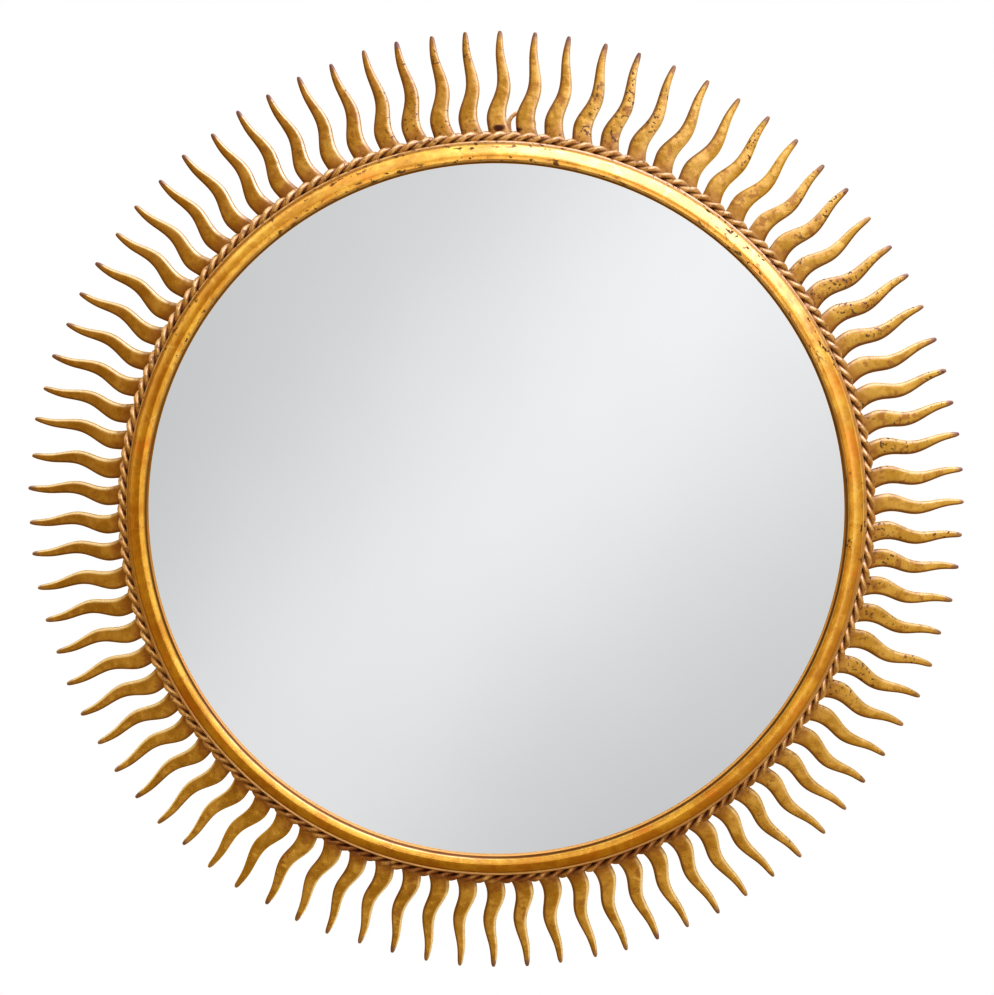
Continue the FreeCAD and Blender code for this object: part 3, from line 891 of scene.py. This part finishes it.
def own_ray(index, chance):
    copy = ray_pattern.copy()
    copy.data = ray_pattern.data.copy()
    bpy.context.scene.collection.objects.link(copy)
    angle = ray_angle(index)
    lengthen(copy.data, min(ray_reach(angle) + chance.gauss(0, UNEVEN_LENGTH), LONGEST))
    lean = math.exp(-((angle - LEAN_MIDDLE) / LEAN_SPREAD) ** 2)
    tilt = Matrix.Rotation(math.radians(chance.gauss(0, UNEVEN_TILT) + LEAN_MOST * lean), 4, "Y")
    width = chance.uniform(1 - UNEVEN_WIDTH, 1 + UNEVEN_WIDTH)
    own = Matrix.Diagonal((width, 1.0, 1.0, 1.0))
    foot = (0, -RAY_FRONT + BLADE, RAY_ROOT)
    set_back = Matrix.Translation(foot) @ Matrix.Rotation(-LEAN, 4, "X")
    turn = Matrix.Rotation(math.radians(angle - LEAN_BACK * lean), 4, "Y")
    copy.data.transform(turn @ set_back @ tilt @ own)
    give(copy, "ray_tone", [chance.random()] * len(copy.data.vertices))
    # How far each point faces the light at the upper right, for the painted edge highlight and
    # shade.
    across = turn @ Vector((1.0, 0.0, 0.0))
    light_side = LIGHT_FROM.dot(across) / (abs(LIGHT_FROM.dot(across)) + 0.15)
    give(copy, "faces_light", [vertex.normal.dot(across) * light_side for vertex in copy.data.vertices])
    return copy


print("ray 1 stands at", round(ray_angle(0), 2), "degrees")

# %% [markdown]
# ## The sunburst
# One ray was modelled and the 86 on the frame are copies of it with meshes of their own. Instances
# would be lighter, but they would all be alike. Two neighbours are joined into one piece, because
# the construction model holds them in pairs.


# %% All the rays, in pairs
def sunburst():
    chance = random.Random(86)
    pairs = []
    for index in range(RAY_COUNT):
        copy = own_ray(index, chance)
        if index % 2 == 0:
            fresh()
            first = copy
            continue
        only(first)
        copy.select_set(True)
        bpy.ops.object.join()
        first.name = first.data.name = f"flames_{index // 2 + 1:02d}"
        pairs.append(first)
    bpy.data.objects.remove(ray_pattern)
    return pairs


for number, pair in enumerate(sunburst(), start=1):
    hand_over(pair, "frame", gilt_ray, "gilt_ray", f"ray_pair_{number:02d}")

# %% [markdown]
# ## The hanger
# A wire ring stands behind the rays just right of the top, and a short arc of it shows between two
# of them. It starts as a torus, and the wire swells where its ends were joined. The staple and the
# tabs that hold the board are small bent strips that the construction model already shapes fully,
# so they only get their iron.


# %% Hanging ring
def hanging_ring():
    angle = math.radians(RING_ANGLE)
    middle = Vector((RING_MIDDLE * math.sin(angle), -RING_DEPTH, RING_MIDDLE * math.cos(angle)))
    fresh()
    bpy.ops.mesh.primitive_torus_add(location=middle, rotation=(math.pi / 2, 0, 0),
                                     major_segments=64, minor_segments=16,
                                     major_radius=RING_MAJOR, minor_radius=RING_WIRE)
    ring = named("wire_ring")
    only(ring)
    bpy.ops.object.transform_apply(location=True, rotation=True, scale=True)
    bpy.ops.object.mode_set(mode="EDIT")
    joint, joint_reach, swelling = middle + Vector((-RING_MAJOR, 0, 0)), 0.0034, 0.00025
    choose(ring, "VERT", lambda item: (item.co - joint).length < joint_reach)
    bpy.ops.transform.shrink_fatten(value=swelling)
    bpy.ops.object.mode_set(mode="OBJECT")
    settle(ring, 60)
    return ring


hand_over(hanging_ring(), "ring", ring_wire, "ring_wire", "hanging_ring")
for node in ("hanger_staple", "board_tabs"):
    solid = frame["nodes"][node]
    solid.data.materials.clear()
    solid.data.materials.append(iron)
    print(node, "keeps its solid")

# %% [markdown]
# ## The room that the gold reflects
# Metal shows its surroundings, so the room is half of its colour. A photographer would hang white
# cloth and leave the rest of the room dim and warm. Here that room is a formula of the direction:
# brighter above and to the right, with a wide pale band towards the upper right, a pale corner at
# the lower left and a patch at the upper left. The narrow bevel beside the glass picks up the pale
# cloths straight in front.


# %% Level of the room
def room_light(right, back, up, across, rise, slant):
    """How bright the room is in a direction."""
    front = up.sum("MAXIMUM", 0 - back, 0.0)
    sideways = 0.35 * right * (1 - 0.65 * right ** 2)
    level = 0.66 + sideways + 0.12 * up + 0.06 * front + 0.6 * back.step(0.4, 0.9)
    ceiling = 0.5 * up.step(0.4, 0.9) - 0.1 * up.step(-0.4, -0.9)
    corner = 0.15 * (right + up).step(-0.8, -1.4)
    spread, toward = (right ** 2 + up ** 2) ** 0.5, 0.75 * right + 0.66 * up
    band = 0.28 * ring_line(spread, 0.35, 0.85, soft=0.15) * toward.step(-0.20, 0.0)
    patch = 0.38 * (0.5 * up - 0.87 * right).step(0.76, 0.90)
    level = level + ceiling + corner + band + patch
    tall = up.sum("ABSOLUTE", rise).step(0.9, 1.35) * slant.step(2.1, 1.5)
    cloths = slant.step(1.3, 0.4) + 0.9 * tall + 0.4 * rise.step(-0.9, -1.8)
    middle = (across ** 2 + rise ** 2) ** 0.5
    near = middle.step(0.6, 1.9) * middle.step(3.4, 2.5) * front.step(0.6, 0.8)
    return level + 0.78 * cloths * near


print("room as a formula of direction")

# %% [markdown]
# ## Surroundings
# Three surroundings are mixed by the kind of ray that asks. The camera sees pure white paper, as in
# the photograph. The glass, the only perfectly sharp mirror, sees a grey card with a pale band from
# lower left to upper right. Everything else sees the room, which is warm where it is dim and white
# where it is bright. The contrast of the picture is raised a little, as in a product photograph.


# %% Paper, card and room
def surroundings():
    world = bpy.data.worlds.new("studio")
    world.use_nodes = True
    bpy.context.scene.world = world
    world.node_tree.nodes.clear()
    look = Tone(world.node_tree).node("ShaderNodeTexCoord")
    right, back, up = look.part("X"), look.part("Y"), look.part("Z")
    card_left, card_down, card_half = 0.014, 0.126, 0.1375
    across, rise = (right + card_left) / card_half, (up + card_down) / card_half
    along = 0.67 * across + 0.74 * rise
    slant = look.sum("ABSOLUTE", 0.74 * across - 0.67 * rise)
    white = rgb(1.0, 1.0, 1.0)
    level = room_light(right, back, up, across, rise, slant)
    tint = level.step(0.55, 1.2).blend(rgb(1.0, 0.70, 0.16), white)
    room = look.node("ShaderNodeBackground", None, {"Color": tint, "Strength": level})
    shade = 0.90 + 0.095 * along.step(-1.6, 1.4) - 0.17 * slant.step(0.0, 1.05)
    card = look.node("ShaderNodeBackground", None, {"Color": white, "Strength": shade})
    paper = look.node("ShaderNodeBackground", None, {"Color": white, "Strength": 1.0})
    seen, mirrored = look.node("ShaderNodeLightPath"), look.node("ShaderNodeLightPath", out=4)
    mixed = look.node("ShaderNodeMixShader", None, {0: mirrored, 1: room, 2: card})
    mixed = look.node("ShaderNodeMixShader", None, {0: seen, 1: mixed, 2: paper})
    look.node("ShaderNodeOutputWorld", None, {0: mixed})


surroundings()
picture = bpy.context.scene.view_settings
picture.view_transform = "Standard"
picture.gamma = 0.6
print(picture.view_transform, "picture with gamma", round(picture.gamma, 2))

# %% [markdown]
# ## Lamp and floor
# One large soft lamp at the upper right gives the moulding its cream highlight. Its light is blue,
# because gold swallows most of the blue, and what is left turns the highlight from orange to cream.
# A pale floor lies well below the hanging mirror.


# %% Lamp and floor
def soft_lamp(name, place, target, size, power):
    fresh()
    bpy.ops.object.light_add(type="AREA", location=place)
    lamp = bpy.context.active_object
    lamp.name = name
    lamp.data.shape = "DISK"
    lamp.data.size = size
    lamp.data.energy = power
    lamp.rotation_euler = (Vector(target) - Vector(place)).to_track_quat("-Z", "Y").to_euler()
    return lamp


key = soft_lamp("key_lamp", place=(1.16, -1.12, 1.94), target=(0.05, 0, 0.09), size=2.9, power=20)
key.data.color = (0.85, 0.96, 2.5)
fresh()
bpy.ops.mesh.primitive_plane_add(size=4.4, location=(0, -0.2, -1.3))
floor = named("pale_floor")
floor_paint, floor_place, floor_shader = finish_named("pale_floor")
floor_tone = floor_place.noise(3.0).blend(rgb(0.80, 0.80, 0.79), rgb(0.83, 0.83, 0.82))
feed(floor_shader, Base_Color=floor_tone, Roughness=0.8)
floor.data.materials.append(floor_paint)
floor.visible_glossy = False
print("lamp", round(key.data.size, 2), "m across, floor at", round(floor.location.z, 2))

# %% [markdown]
# ## Camera
# The photograph was taken from a little above the middle of the mirror and very slightly from the
# right, with a long lens. The view aims just above the middle, which puts the mirror where it is in
# the picture without any shift.


# %% Camera
def camera_as_photographed():
    elevation, azimuth, distance = math.radians(7.3), math.radians(0.8), 2.385
    middle = Vector((0, -RAY_FRONT, 0))
    way = Vector((math.sin(azimuth), -math.cos(azimuth), math.tan(elevation))).normalized()
    fresh()
    bpy.ops.object.camera_add(location=middle + way * distance)
    camera = bpy.context.active_object
    target = middle + Vector((0.001, 0, 0.0152))
    camera.rotation_euler = (target - camera.location).to_track_quat("-Z", "Y").to_euler()
    sensor, picture_side, lens_in_pixels = 36, 995, 2500
    camera.data.lens = sensor * lens_in_pixels / picture_side
    camera.data.sensor_width = sensor
    bpy.context.scene.camera = camera
    print("camera", [round(v, 3) for v in camera.location], "lens", round(camera.data.lens, 1))


camera_as_photographed()
